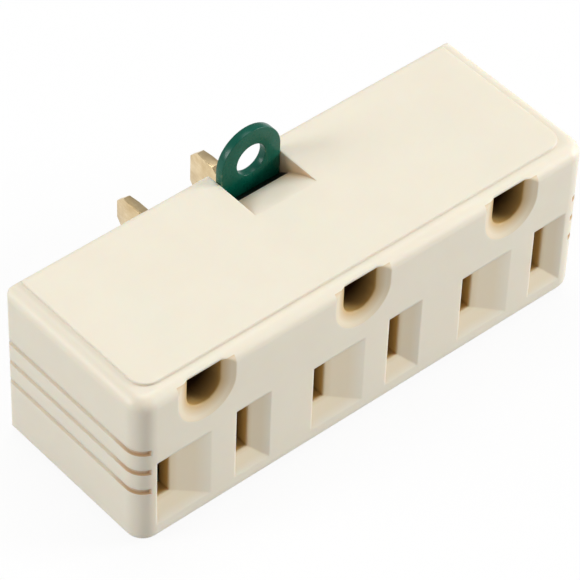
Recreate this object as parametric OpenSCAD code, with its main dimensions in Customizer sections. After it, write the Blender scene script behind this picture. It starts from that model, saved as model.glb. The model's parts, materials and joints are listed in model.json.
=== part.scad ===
// Three-outlet plug adapter with a ground tab, in millimetres.
// The origin lies on the rear face, midway between the two blades.
// +X runs along the body, the outlets face -Y, the wall is on the +Y side and +Z is up.

/* [Body] */
// Distance from the first narrow slot to the left end
left_room = 4.35; // [4.2:0.05:6]
// Distance from the last wide slot to the right end
right_room = 7.2; // [4.2:0.05:8]
// Height of the blade line above the bottom of the body
blade_rise = 8.6; // [7.6:0.1:10]
// Distance from the flat top of a ground hole to the top of the body
top_land = 0.6; // [0.2:0.05:2]
// Radius of the two upright front corners
corner_r = 2.8; // [2.4:0.1:3.4]
// Radius along the other outer edges
edge_r = 1.8; // [0.6:0.1:2]
// Thickness of the end, top and bottom walls
wall = 1.9; // [1.6:0.1:2.1]
// Thickness of the rim round the rear cover
rim = 1.2; // [0.9:0.1:1.4]
// Radius along the rear edges
rear_r = 0.9; // [0.3:0.1:1]
// Thickness of the wall behind the outlet face
front_wall = 3; // [2.4:0.1:3.4]
// Thickness of the inner ribs and barriers
rib = 1.2; // [0.8:0.1:1.4]

/* [Raised panel] */
// Height of the raised panel on the top
panel_h = 0.35; // [0.2:0.05:0.8]
// Distance from the front and the ends to the panel
panel_inset = 2.3; // [1.5:0.1:4]
// Radius of the panel's two front corners
panel_r = 2.4; // [1:0.1:4]

/* [Grip grooves] */
// Number of grooves on each end
groove_n = 3; // [1:1:5]
// Distance from one groove to the next
groove_pitch = 3.5; // [2:0.1:4]
// Height of a groove
groove_h = 0.9; // [0.5:0.1:1.4]
// Depth of a groove
groove_d = 0.45; // [0.2:0.05:0.8]
// Distance that a groove reaches along the outlet face from the end
groove_reach = 2; // [1:0.1:3]
// Height of the middle groove above the middle of the end
groove_rise = 0.25; // [-2:0.05:2]

/* [Outlets] */
// Distance from one outlet to the next
outlet_pitch = 25.4; // [25:0.1:26.4]
// Height of the slots' centre line above the blade line
slot_line = 1.95; // [1.6:0.05:2.2]
// Distance between the two slots of an outlet
slot_gap = 12.7; // [12.5:0.1:12.9]
// Width of a slot
slot_w = 2.3; // [2:0.1:2.6]
// Height of the narrow slot
hot_slot_h = 7.5; // [6.8:0.1:7.6]
// Height of the wide slot
neutral_slot_h = 8.9; // [8.2:0.1:9]
// Height of the ground pin's centre above the slots' centre line
pin_rise = 11.9; // [11.7:0.1:12]
// Radius of the rounded half of the ground hole
pin_hole_r = 2.7; // [2.6:0.05:2.8]
// Distance from the pin's centre to the flat top of the ground hole
pin_hole_flat = 2.6; // [2.5:0.05:3]
// Distance from the pin's centre down to the centre of the ground hole's rounded half
pin_hole_low = 0.4; // [0.2:0.05:0.5]
// Distance from the end of a pin's channel to the rear face
pin_end = 6; // [5.6:0.1:8]

/* [Lead-ins] */
// Depth of the ramps at the edge of a slot
ramp_d = 1; // [0.4:0.1:1.4]
// Width of the narrow bevel on the near side of a slot
bevel_w = 0.4; // [0.1:0.05:0.6]
// Width of the ramp beside a narrow slot
hot_ramp_w = 6; // [2:0.1:6.4]
// Width of the ramp beside a wide slot
neutral_ramp_w = 3; // [1:0.1:4]
// Height of the ramp below a narrow slot
hot_ramp_drop = 3.9; // [2:0.1:4.4]
// Height of the ramp below a wide slot
neutral_ramp_drop = 3.2; // [1:0.1:3.6]
// Width of the dish round the ground hole
dish_w = 1.9; // [0.8:0.1:2.4]
// Depth of the dish round the ground hole
dish_d = 0.8; // [0.3:0.1:1.2]
// Height of the dish above the flat top of the ground hole
dish_rise = 0.6; // [0.2:0.1:1]

/* [Rear cover] */
// Thickness of the rear cover
cover_t = 2.6; // [2.4:0.1:3]
// Radius of the cover's corners
cover_r = 1.2; // [0.5:0.1:2]
// Gap between the cover and the rim
cover_gap = 0.12; // [0.05:0.01:0.25]

/* [Blades] */
// Distance between the two blades
blade_gap = 12.7; // [12.5:0.1:12.9]
// Reach of a blade behind the rear face
blade_l = 16.4; // [15:0.1:18]
// Thickness of a blade
blade_t = 1.5; // [1.4:0.05:1.6]
// Height of the narrow blade and of the wide blade's waist
blade_w = 6.35; // [6.2:0.05:6.6]
// Height of the wide blade at its tip and in the cover
wide_blade_w = 7.92; // [7.6:0.02:8.1]
// Length of the wide part at the wide blade's tip
wide_tip_l = 5.8; // [5:0.1:8]
// Height of a blade's tip, less than that of the blade
tip_cut = 1.7; // [0.5:0.1:2.2]
// Thickness of a blade at its tip
tip_t = 0.75; // [0.5:0.05:1.3]
// Length of the tip's bevel
tip_l = 3.4; // [1:0.1:5]
// Length of the foot that lies on the inside of the cover
foot_l = 7.2; // [6:0.1:7.6]
// Gap between a blade and its slot in the cover
blade_fit = 0.1; // [0.05:0.01:0.2]

/* [Ground tab] */
// Width of the ground tab
tab_w = 9.8; // [8:0.1:10.6]
// Thickness of the ground tab
tab_t = 1.2; // [0.8:0.1:1.4]
// Distance from the blade line to the tab's screw hole
tab_reach = 19.05; // [18.6:0.05:20]
// Radius of the tab's screw hole
tab_hole_r = 2.4; // [2:0.1:3]
// Distance of the tab's back from the rear face
tab_set = 1.7; // [1.6:0.02:1.8]
// Depth of the notch at the tab
notch_depth = 3.5; // [3.3:0.1:4.2]
// Length of the ramp in front of the tab
notch_l = 7; // [4:0.1:7.4]
// Sharpness of the ramp's curve
notch_curve = 1.4; // [1:0.1:2]
// Gap between the tab and the notch
tab_fit = 0.2; // [0.1:0.05:0.3]

/* [Contacts and straps] */
// Thickness of the spring contacts
clip_t = 0.5; // [0.4:0.05:0.6]
// Height of the contact leaves
clip_h = 5.6; // [4:0.1:6]
// Gap between the leaves where they grip a blade
clip_throat = 1.2; // [0.8:0.05:1.4]
// Gap between the leaves at the mouth
clip_mouth = 3; // [2:0.1:3.6]
// Gap between the leaves at the root
clip_root = 3.4; // [3:0.1:3.6]
// Length of a blade contact
clip_l = 13.9; // [13:0.1:18]
// Length of a blade contact's foot
clip_foot_l = 4.6; // [4.4:0.1:5.2]
// Distance from a blade contact's mouth to the front wall
clip_gap = 1; // [0.5:0.1:2]
// Thickness of the straps
strap_t = 0.7; // [0.6:0.05:0.8]
// Width of the straps that join the blade contacts
strap_w = 5.2; // [5:0.1:5.2]
// Length of a strap beyond its last contact
strap_end = 2.2; // [1.8:0.1:2.3]
// Height of the narrow-slot strap above the inner floor
hot_strap_lift = 1.1; // [0.9:0.1:1.3]
// Height of the wide-slot strap above the slots' centre line
neutral_strap_rise = 5; // [4.9:0.1:5.2]
// Gap between the leaves of a ground contact where they grip the pin
pin_throat = 4.5; // [4.3:0.05:4.6]
// Gap between the leaves of a ground contact at the foot and the top
pin_mouth = 5; // [4.7:0.1:5.4]
// Length of a ground contact
pin_clip_l = 11; // [9:0.1:12]
// Reach of a ground contact in front of its strap
pin_clip_reach = 4; // [2:0.1:5]
// Width of the strap that joins the ground contacts
ground_strap_w = 5.7; // [5:0.1:6]
// Length of the ground tab's foot
tab_foot_l = 6.7; // [6:0.1:7]
// Width of the ground tab's foot
tab_foot_w = 8; // [6:0.1:9]
// Distance from the ground tab's foot to the ground strap
tab_foot_gap = 2; // [1.6:0.1:3]
// Thickness of the insulating card
card_t = 0.4; // [0.3:0.05:0.5]

/* [Rivets and screws] */
// Radius of a rivet's shank
rivet_r = 0.8; // [0.6:0.05:1]
// Radius of a rivet's heads
rivet_head_r = 1.5; // [1.2:0.05:1.6]
// Height of a rivet's heads
rivet_head_h = 0.4; // [0.3:0.05:0.45]
// Radius of a cover screw's shank
screw_r = 1.25; // [1:0.05:1.5]
// Length of a cover screw under its head
screw_l = 8.5; // [6:0.5:12]
// Radius of a cover screw's head
screw_head_r = 2.4; // [2:0.1:2.6]
// Height of a cover screw's head
screw_head_h = 1.2; // [0.8:0.1:1.3]
// Radius of the bosses that take the cover screws
boss_r = 2.5; // [2.2:0.1:2.8]

/* [Hidden] */

$fn = 64;
over = 1; // how far a cut runs past a face

// Main levels of the body
outlets = [0, 1, 2];
body_l = (len(outlets) - 1) * outlet_pitch + slot_gap + left_room + right_room;
body_h = blade_rise + slot_line + pin_rise + pin_hole_flat + top_land;
body_d = cover_t + blade_t + clip_foot_l + clip_l + clip_gap + front_wall;
bottom_z = -blade_rise;
top_z = bottom_z + body_h;
panel_z = top_z + panel_h;
front_y = -body_d;
inner_front_y = front_y + front_wall;
inner_top_z = top_z - wall;
inner_bottom_z = bottom_z + wall;
middle_z = (bottom_z + panel_z) / 2;

// Outlets, slots and pins
outlet_shift = (left_room - right_room) / 2;
pin_z = slot_line + pin_rise;
pin_taper = 2.9;
pin_neck = 1.3;
hot_x = -slot_gap / 2;
neutral_x = slot_gap / 2;

// Blade contacts and their straps
strap_rear_y = -cover_t - blade_t;
strap_front_y = strap_rear_y - strap_w;
clip_back_y = strap_rear_y - clip_foot_l;
clip_mouth_y = clip_back_y - clip_l;
clip_low_z = slot_line - clip_h / 2;
clip_top_z = slot_line + clip_h / 2;
clip_foot_y = strap_rear_y - strap_t - 0.1;
strap_rivet_y = (clip_back_y + clip_t + clip_foot_y) / 2;
hot_strap_z = inner_bottom_z + hot_strap_lift;
neutral_strap_z = slot_line + neutral_strap_rise;
contact_foot_w = 2 * rivet_head_r + 0.2;
ear_w = 2 * rivet_head_r + 0.45;

// Insulating card, ground strap and ground contacts, stacked above the wide-slot strap
card_z = neutral_strap_z + strap_t + rivet_head_h;
shelf_z = card_z + card_t + 0.8;
ground_strap_z = shelf_z;
ground_rivet_clear = 0.1;
ground_foot_z = ground_strap_z + strap_t;
tab_foot_y = -tab_set - tab_foot_l;
ground_strap_rear_y = tab_foot_y - tab_foot_gap;
ground_strap_front_y = ground_strap_rear_y - ground_strap_w;
pin_clip_front_y = ground_strap_front_y - pin_clip_reach;
pin_clip_top_z = inner_top_z - 0.2;

// Ground tab and its notch
tab_front_y = -tab_set - tab_t;
tab_rivet_y = (tab_foot_y + tab_front_y) / 2 - 0.4;
notch_w = tab_w + 2 * tab_fit;
notch_z = panel_z - notch_depth;
notch_floor = 1.2;

// Cover screws and the pockets over the blades' rivets
screw_z = slot_line - 0.9;
screw_seat_y = -1.5;
rivet_pocket_d = 0.55;

function outlet_x(i) = outlet_shift + (i - 1) * outlet_pitch;
function mix(a, b, t) = a + (b - a) * t;
function smooth(t) = (1 - cos(180 * t)) / 2;
function all_round(r) = [r, r, r, r];

// Half the gap between a contact's leaves, t running from the root at 0 to the mouth at 1
function leaf_half_gap(t) = t < 0.62
    ? mix(clip_root, clip_throat, smooth(t / 0.62)) / 2
    : mix(clip_throat, clip_mouth, smooth((t - 0.62) / 0.38)) / 2;

// Half the gap between a ground contact's leaves, t running from the foot to the top
function pin_half_gap(t) = mix(pin_mouth, pin_throat, sin(180 * min(1, t * 1.1))) / 2;

// Square with each corner rounded by its own radius: front left, front right, rear right, rear left
module rounded_box_2d(lo, hi, r) {
    corners = [[lo[0], lo[1]], [hi[0], lo[1]], [hi[0], hi[1]], [lo[0], hi[1]]];
    difference() {
        translate(lo) square(hi - lo);
        for (i = [0:3])
            translate(corners[i]) rotate(90 * i) corner_cut(r[i]);
    }
}

// What a rounded corner loses, for a corner at the origin with the square above and to its right
module corner_cut(r) {
    if (r > 0)
        difference() {
            translate([-over, -over]) square(r + over);
            translate([r, r]) circle(r);
        }
}

module along_x(lo, hi) {
    // takes an outline drawn as (y, z)
    translate([lo, 0, 0]) rotate([90, 0, 90]) linear_extrude(hi - lo) children();
}

module along_y(lo, hi) {
    // takes an outline drawn as (x, z)
    translate([0, hi, 0]) rotate([90, 0, 0]) linear_extrude(hi - lo) children();
}

module along_z(lo, hi) {
    // takes an outline drawn as (x, y)
    translate([0, 0, lo]) linear_extrude(hi - lo) children();
}

module block(lo, hi) {
    translate(lo) cube(hi - lo);
}

// Outer form of the body: straight runs joined at the two front corners by turned ones
module body_form() {
    run = body_l / 2 - corner_r;
    along_x(-run, run)
        rounded_box_2d([front_y, bottom_z], [0, top_z], [edge_r, 0, 0, edge_r]);
    along_y(front_y + corner_r, 0)
        rounded_box_2d([-body_l / 2, bottom_z], [body_l / 2, top_z], all_round(edge_r));
    for (side = [-1, 1])
        translate([side * run, front_y + corner_r, 0])
            rotate_extrude()
                intersection() {
                    rounded_box_2d([-corner_r, bottom_z], [corner_r, top_z], all_round(edge_r));
                    translate([0, bottom_z]) square([corner_r, body_h]);
                }
}

// What the rounded rear edges lose
module rear_edge_cuts() {
    along_x(-body_l / 2 - over, body_l / 2 + over) {
        translate([0, panel_z]) rotate(180) corner_cut(rear_r);
        translate([0, bottom_z]) rotate(90) corner_cut(rear_r);
    }
    along_z(bottom_z - over, panel_z + over) {
        translate([body_l / 2, 0]) rotate(180) corner_cut(rear_r);
        translate([-body_l / 2, 0]) rotate(270) corner_cut(rear_r);
    }
}

module raised_panel() {
    half = body_l / 2 - panel_inset;
    along_z(top_z - over, panel_z)
        rounded_box_2d([-half, front_y + panel_inset], [half, 0], [panel_r, panel_r, 0, 0]);
}

// One groove along an end, round the front corner and onto the outlet face
module grip_groove(z) {
    half = body_l / 2;
    along_z(z - groove_h / 2, z + groove_h / 2)
        difference() {
            union() {
                translate([-half - over, front_y - over])
                    square([over + groove_reach, body_d + 2 * over]);
                translate([half - groove_reach, front_y - over])
                    square([over + groove_reach, body_d + 2 * over]);
            }
            rounded_box_2d([-half + groove_d, front_y + groove_d], [half - groove_d, 2 * over],
                           [corner_r - groove_d, corner_r - groove_d, 0, 0]);
        }
}

module grip_grooves() {
    for (i = [0:groove_n - 1])
        grip_groove(middle_z + groove_rise + (i - (groove_n - 1) / 2) * groove_pitch);
}

// A slot through the front wall, with a steep bevel, a wide ramp beside it and a ramp below it
module slot_opening(slot_h, ramp_w, ramp_drop) {
    half = slot_w / 2;
    low = slot_line - slot_h / 2;
    high = slot_line + slot_h / 2;
    block([-half, front_y - over, low], [half, inner_front_y + over, high]);
    intersection() {
        along_z(low - ramp_drop - over, high)
            polygon([[-half - bevel_w, front_y - over], [half + ramp_w, front_y - over],
                     [half + ramp_w, front_y], [half, front_y + ramp_d],
                     [-half, front_y + ramp_d], [-half - bevel_w, front_y]]);
        along_x(-half - over, half + ramp_w + over)
            polygon([[front_y - over, high], [front_y - over, low - ramp_drop], [front_y, low - ramp_drop],
                     [front_y + ramp_d, low], [front_y + ramp_d, high]]);
    }
}

module pin_outline(grow) {
    // the D-shaped ground hole, drawn as (x, z)
    r = pin_hole_r + grow;
    translate([0, pin_z - pin_hole_low]) circle(r);
    translate([-r, pin_z - pin_hole_low]) square([2 * r, pin_hole_low + pin_hole_flat + grow]);
}

// The ground hole with its dish, its channel and the rounded end that clears the tip of a pin
module pin_opening() {
    neck_y = -pin_end - pin_taper;
    neck_r = pin_hole_r - 0.15;
    tip_r = pin_hole_r / 3;
    dish_r = pin_hole_r + dish_w;
    along_y(front_y - over, neck_y - pin_neck) pin_outline(0);
    translate([0, neck_y - pin_neck - over, pin_z]) rotate([-90, 0, 0])
        cylinder(h = pin_neck + over, r = neck_r);
    translate([0, neck_y, pin_z]) rotate([-90, 0, 0])
        cylinder(h = pin_taper, r1 = neck_r, r2 = tip_r);
    translate([0, front_y, pin_z - pin_hole_low]) rotate([-90, 0, 0])
        cylinder(h = dish_d, r1 = dish_r, r2 = pin_hole_r);
    along_z(pin_z - pin_hole_low, pin_z + pin_hole_flat + dish_rise)
        polygon([[-dish_r, front_y - over], [dish_r, front_y - over], [dish_r, front_y],
                 [pin_hole_r, front_y + dish_d], [-pin_hole_r, front_y + dish_d], [-dish_r, front_y]]);
}

module outlet_openings() {
    for (i = outlets)
        translate([outlet_x(i), 0, 0]) {
            translate([hot_x, 0, 0]) slot_opening(hot_slot_h, hot_ramp_w, hot_ramp_drop);
            translate([neutral_x, 0, 0]) slot_opening(neutral_slot_h, neutral_ramp_w, neutral_ramp_drop);
            pin_opening();
        }
}

// Depth of the notch below the panel, t running from the tab at 0 to the ramp's end at 1
function notch_drop(t) = notch_depth * pow(1 - t, notch_curve);

module notch_profile(lift, reach) {
    // drawn as (y, z): the notch's floor and its curved ramp, moved down by lift
    steps = 12;
    tab_y = tab_front_y;
    curve = [for (i = [0:steps]) [tab_y - notch_l * i / steps, panel_z - notch_drop(i / steps) - lift]];
    polygon(concat([[reach, panel_z + over], [reach, notch_z - lift]], curve,
                   [[tab_y - notch_l, panel_z + over]]));
}

module tab_notch() {
    along_x(-notch_w / 2, notch_w / 2) notch_profile(0, over);
    block([-tab_w / 2 - tab_fit, tab_front_y - tab_fit, notch_z - notch_floor - over],
          [tab_w / 2 + tab_fit, -tab_set + tab_fit, notch_z + over]);
}

// What holds the notch's floor, ramp and sides inside the body
module notch_lining() {
    intersection() {
        block([-notch_w / 2 - rib, front_y, notch_z - notch_floor],
              [notch_w / 2 + rib, 0, top_z - edge_r]);
        along_x(-notch_w, notch_w) notch_profile(notch_floor, 0);
    }
}

module screw_bosses() {
    for (i = [0, 2])
        translate([outlet_x(i), inner_front_y - over, screw_z]) rotate([-90, 0, 0])
            cylinder(h = -cover_t - inner_front_y + over, r = boss_r);
}

module screw_pilots() {
    for (i = [0, 2])
        translate([outlet_x(i), screw_seat_y - screw_l - over, screw_z]) rotate([-90, 0, 0])
            cylinder(h = screw_l + 2 * over, r = screw_r);
}

// Upright ribs between the blade contacts, the shelf under the ground strap and the pin collars
module inner_barriers() {
    for (i = outlets)
        translate([outlet_x(i), 0, 0]) {
            upright_rib();
            along_y(inner_front_y - over, pin_clip_front_y - 0.2) pin_outline(rib);
        }
    for (i = [0.5, 1.5])
        translate([outlet_x(i), 0, 0]) upright_rib();
    block([-body_l / 2 + rim, inner_front_y - over, shelf_z - rib],
          [body_l / 2 - rim, strap_front_y, shelf_z]);
    for (i = [0:0.5:1.5])
        translate([outlet_x(i), 0, 0])
            block([-rib / 2, strap_front_y - over, inner_bottom_z - over],
                  [rib / 2, strap_rear_y, hot_strap_z]);
}

module upright_rib() {
    block([-rib / 2, inner_front_y - over, inner_bottom_z - over], [rib / 2, strap_front_y, shelf_z]);
}

module rivet_wells() {
    // room for the lower heads of the ground contacts' rivets in the shelf
    for (i = outlets)
        translate([outlet_x(i), ground_rivet_y(), shelf_z - rivet_head_h - ground_rivet_clear])
            cylinder(h = rivet_head_h + ground_rivet_clear + over, r = rivet_head_r + 0.3);
}

function ground_rivet_y() = ground_strap_front_y + ground_strap_w / 2;

module front_housing() {
    color([0.93, 0.9, 0.82])
        difference() {
            union() {
                difference() {
                    union() {
                        body_form();
                        raised_panel();
                    }
                    along_y(inner_front_y, over)
                        rounded_box_2d([-body_l / 2 + wall, inner_bottom_z],
                                       [body_l / 2 - wall, inner_top_z], all_round(edge_r));
                    along_y(-cover_t, over) cover_outline(0);
                }
                intersection() {
                    body_form();
                    union() {
                        inner_barriers();
                        screw_bosses();
                        notch_lining();
                    }
                }
            }
            rear_edge_cuts();
            grip_grooves();
            outlet_openings();
            tab_notch();
            screw_pilots();
            rivet_wells();
        }
}

module cover_outline(gap) {
    // drawn as (x, z)
    rounded_box_2d([-body_l / 2 + rim + gap, bottom_z + rim + gap],
                   [body_l / 2 - rim - gap, top_z - rim - gap], all_round(cover_r));
}

module rear_cover() {
    notch_half = notch_w / 2 + rib + cover_gap;
    foot_low = -cover_t - over;
    color([0.9, 0.87, 0.79])
        difference() {
            union() {
                along_y(-cover_t, 0) cover_outline(cover_gap);
                cover_posts();
            }
            block([-notch_half, foot_low, notch_z - notch_floor - cover_gap], [notch_half, over, top_z]);
            block([-tab_w / 2 - tab_fit, foot_low, ground_foot_z - tab_fit],
                  [tab_w / 2 + tab_fit, -tab_set + tab_fit, top_z]);
            blade_slot(-1, blade_w);
            blade_slot(1, wide_blade_w);
            for (i = [0, 2])
                translate([outlet_x(i), 0, screw_z]) rotate([90, 0, 0]) {
                    translate([0, 0, -over]) cylinder(h = -screw_seat_y + over, r = screw_head_r + 0.2);
                    cylinder(h = cover_t + over, r = screw_r + 0.15);
                }
            for (side = [-1, 1])
                for (z = blade_rivet_levels())
                    translate([side * blade_rivet_x(), -cover_t - over, z]) rotate([-90, 0, 0])
                        cylinder(h = rivet_pocket_d + over, r = rivet_head_r + 0.25);
        }
}

module blade_slot(side, w) {
    half_w = w / 2 + blade_fit;
    half_t = blade_t / 2 + blade_fit;
    translate([side * blade_gap / 2, 0, 0])
        block([-half_t, -cover_t - over, -half_w], [half_t, over, half_w]);
}

// Short posts that press the straps against the housing's ribs
module cover_posts() {
    for (i = [0:0.5:1.5])
        translate([outlet_x(i), 0, 0])
            block([-rib, strap_rear_y, hot_strap_z - 0.6],
                  [rib, -cover_t + over / 2, hot_strap_z + strap_t + 0.2]);
    for (i = [0.5:0.5:2])
        translate([outlet_x(i), 0, 0])
            block([-rib, strap_rear_y, neutral_strap_z - 0.6],
                  [rib, -cover_t + over / 2, neutral_strap_z + strap_t]);
}

function blade_rivet_x() = blade_gap / 2 - blade_t / 2 + foot_l - rivet_head_r - 0.35;
function blade_rivet_levels() = [-1.7, 1.5];

// Blade with its foot bent out along the inside of the cover, standing to the right of the origin
module blade(side_outline) {
    root_y = strap_rear_y;
    half_t = blade_t / 2;
    intersection() {
        union() {
            along_x(-half_t, half_t) children();
            along_x(half_t - over, foot_l - half_t)
                translate([root_y, -side_outline / 2]) square([blade_t, side_outline]);
        }
        along_z(-wide_blade_w, wide_blade_w)
            union() {
                difference() {
                    translate([-half_t, root_y]) square([foot_l, blade_l - root_y]);
                    translate([half_t, root_y + blade_t]) square([foot_l, blade_l - root_y]);
                    translate([-half_t, root_y]) corner_cut(blade_t * 0.8);
                    blade_bevels();
                }
            }
    }
}

module blade_bevels() {
    // thins both faces of the blade towards its tip
    for (side = [-1, 1])
        polygon([[side * blade_t / 2, blade_l - tip_l], [side * tip_t / 2, blade_l],
                 [side * tip_t / 2, blade_l + over], [side * blade_t, blade_l + over],
                 [side * blade_t, blade_l - tip_l]]);
}

module narrow_blade_outline() {
    // drawn as (y, z)
    half = blade_w / 2;
    polygon([[strap_rear_y, -half], [blade_l - tip_cut, -half], [blade_l, -half + tip_cut],
             [blade_l, half - tip_cut], [blade_l - tip_cut, half], [strap_rear_y, half]]);
}

module wide_blade_outline() {
    // full height in the cover and at the tip, with a waist between
    half = wide_blade_w / 2;
    waist = blade_w / 2;
    lead = half - waist;
    y0 = 1;
    y1 = blade_l - wide_tip_l;
    upper = [[y0, half], [y0 + lead, waist], [y1, waist], [y1 + lead, half],
             [blade_l - tip_cut, half], [blade_l, half - tip_cut]];
    polygon(concat([[strap_rear_y, half]], upper,
                   [for (i = [len(upper) - 1:-1:0]) [upper[i][0], -upper[i][1]]],
                   [[strap_rear_y, -half]]));
}

module blade_rivet_holes() {
    for (z = blade_rivet_levels())
        translate([blade_rivet_x() - blade_gap / 2, strap_rear_y - over, z]) rotate([-90, 0, 0])
            cylinder(h = blade_t + 2 * over, r = rivet_r);
}

module hot_blade() {
    color([0.86, 0.74, 0.5])
        mirror([1, 0, 0]) translate([blade_gap / 2, 0, 0])
            difference() {
                blade(blade_w) narrow_blade_outline();
                blade_rivet_holes();
            }
}

module neutral_blade() {
    color([0.86, 0.74, 0.5])
        translate([blade_gap / 2, 0, 0])
            difference() {
                blade(wide_blade_w) wide_blade_outline();
                blade_rivet_holes();
            }
}

// Rivet with flat heads, lying along Z from the origin through the given grip
module rivet(grip, shank_r, head_r) {
    cylinder(h = grip, r = shank_r);
    translate([0, 0, -rivet_head_h]) cylinder(h = rivet_head_h, r = head_r);
    translate([0, 0, grip]) cylinder(h = rivet_head_h, r = head_r);
}

module blade_rivets() {
    for (z = blade_rivet_levels())
        translate([blade_rivet_x(), -cover_t, z]) rotate([90, 0, 0])
            rivet(blade_t + strap_t, rivet_r, rivet_head_r);
}

module hot_blade_rivets() {
    color([0.8, 0.7, 0.45]) mirror([1, 0, 0]) blade_rivets();
}

module neutral_blade_rivets() {
    color([0.8, 0.7, 0.45]) blade_rivets();
}

// Leaf of a spring contact as an outline (x, y), for the leaf on the right
module leaf_outline() {
    steps = 20;
    root_y = clip_back_y + clip_t;
    inner = [for (i = [0:steps])
             [leaf_half_gap(i / steps), mix(clip_back_y, clip_mouth_y, i / steps)]];
    outer = [for (i = [steps:-1:0])
             [leaf_half_gap(i / steps) + clip_t, mix(root_y, clip_mouth_y, i / steps)]];
    polygon(concat(inner, outer));
}

// Spring contact for a blade: two leaves, a back, and a foot at foot_z that is riveted to the strap
module blade_contact(foot_z) {
    half = clip_root / 2 + clip_t;
    lo = min(foot_z, clip_low_z);
    hi = max(foot_z + clip_t, clip_top_z);
    difference() {
        union() {
            along_z(clip_low_z, clip_top_z) {
                leaf_outline();
                mirror([1, 0]) leaf_outline();
            }
            block([-half, clip_back_y, clip_low_z], [half, clip_back_y + clip_t, clip_top_z]);
            block([-contact_foot_w / 2, clip_back_y, lo], [contact_foot_w / 2, clip_back_y + clip_t, hi]);
            block([-contact_foot_w / 2, clip_back_y, foot_z],
                  [contact_foot_w / 2, clip_foot_y, foot_z + clip_t]);
        }
        translate([0, strap_rivet_y, foot_z - over]) cylinder(h = clip_t + 2 * over, r = rivet_r);
    }
}

module hot_contact(i) {
    color([0.88, 0.68, 0.42])
        translate([outlet_x(i) + hot_x, 0, 0]) blade_contact(hot_strap_z + strap_t);
}

module neutral_contact(i) {
    color([0.88, 0.68, 0.42])
        translate([outlet_x(i) + neutral_x, 0, 0]) blade_contact(neutral_strap_z - clip_t);
}

// Spring contact for a ground pin: a channel whose sides grip the pin
module ground_contact(i) {
    steps = 12;
    base_z = ground_foot_z + clip_t;
    inner = concat([[pin_mouth / 2, ground_foot_z]],
                   [for (j = [0:steps]) [pin_half_gap(j / steps), mix(base_z, pin_clip_top_z, j / steps)]]);
    outer = [for (j = [steps + 1:-1:0]) [inner[j][0] + clip_t, inner[j][1]]];
    half = pin_mouth / 2 + clip_t;
    rear_y = pin_clip_front_y + pin_clip_l;
    color([0.88, 0.68, 0.42])
        translate([outlet_x(i), 0, 0])
            difference() {
                union() {
                    along_y(pin_clip_front_y, rear_y) polygon(concat(inner, outer));
                    along_y(pin_clip_front_y, rear_y) mirror([1, 0]) polygon(concat(inner, outer));
                    block([-half, pin_clip_front_y, ground_foot_z], [half, rear_y, base_z]);
                }
                translate([0, ground_rivet_y(), ground_foot_z - over])
                    cylinder(h = clip_t + 2 * over, r = rivet_r);
            }
}

// Strap for three blade contacts, with an ear that reaches to ear_z and is riveted to the foot of the blade
module contact_strap(first_x, last_x, z, side, ear_z) {
    ear_right = blade_gap / 2 - blade_t / 2 + foot_l;
    lo = min(z, ear_z);
    hi = max(z + strap_t, ear_z);
    difference() {
        union() {
            block([first_x - strap_end, strap_front_y, z], [last_x + strap_end, strap_rear_y, z + strap_t]);
            mirror([side < 0 ? 1 : 0, 0, 0])
                block([ear_right - ear_w, strap_rear_y - strap_t, lo], [ear_right, strap_rear_y, hi]);
        }
        for (i = outlets)
            translate([first_x + i * outlet_pitch, strap_rivet_y, z - over])
                cylinder(h = strap_t + 2 * over, r = rivet_r);
        for (level = blade_rivet_levels())
            translate([side * blade_rivet_x(), strap_rear_y - strap_t - over, level]) rotate([-90, 0, 0])
                cylinder(h = strap_t + 2 * over, r = rivet_r);
    }
}

module hot_strap() {
    color([0.82, 0.64, 0.36])
        contact_strap(outlet_x(0) + hot_x, outlet_x(2) + hot_x, hot_strap_z, -1, blade_w / 2);
}

module neutral_strap() {
    color([0.82, 0.64, 0.36])
        contact_strap(outlet_x(0) + neutral_x, outlet_x(2) + neutral_x, neutral_strap_z, 1, -blade_w / 2);
}

module ground_strap() {
    half = tab_foot_w / 2;
    color([0.82, 0.64, 0.36])
        difference() {
            union() {
                block([outlet_x(0) - strap_end, ground_strap_front_y, ground_strap_z],
                      [outlet_x(2) + strap_end, ground_strap_rear_y, ground_foot_z]);
                block([-half, ground_strap_rear_y - over, ground_strap_z],
                      [half, tab_front_y - 0.6, ground_foot_z]);
            }
            for (i = outlets)
                translate([outlet_x(i), ground_rivet_y(), ground_strap_z - over])
                    cylinder(h = strap_t + 2 * over, r = rivet_r);
            translate([0, tab_rivet_y, ground_strap_z - over])
                cylinder(h = strap_t + 2 * over, r = rivet_r);
        }
}

// Upright tab with its arched top, bent forward at the bottom into a foot on the ground strap
module ground_tab() {
    half = tab_w / 2;
    color([0.02, 0.35, 0.29])
        difference() {
            union() {
                along_y(tab_front_y, -tab_set) {
                    translate([0, tab_reach]) circle(half);
                    translate([-half, ground_foot_z + tab_t])
                        square([tab_w, tab_reach - ground_foot_z - tab_t]);
                }
                along_x(-tab_foot_w / 2, tab_foot_w / 2)
                    difference() {
                        translate([tab_foot_y, ground_foot_z])
                            square([-tab_set - tab_foot_y, tab_t + over / 2]);
                        translate([tab_foot_y - over, ground_foot_z + tab_t])
                            square([tab_front_y - tab_foot_y + over, over]);
                        translate([-tab_set, ground_foot_z]) rotate(90) corner_cut(tab_t * 0.8);
                    }
            }
            translate([0, tab_front_y - over, tab_reach]) rotate([-90, 0, 0])
                cylinder(h = tab_t + 2 * over, r = tab_hole_r);
            translate([0, tab_rivet_y, ground_foot_z - over])
                cylinder(h = tab_t + 2 * over, r = rivet_r);
        }
}

module ground_tab_rivet() {
    color([0.8, 0.7, 0.45])
        translate([0, tab_rivet_y, ground_strap_z]) rivet(strap_t + tab_t, rivet_r, rivet_head_r);
}

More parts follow.
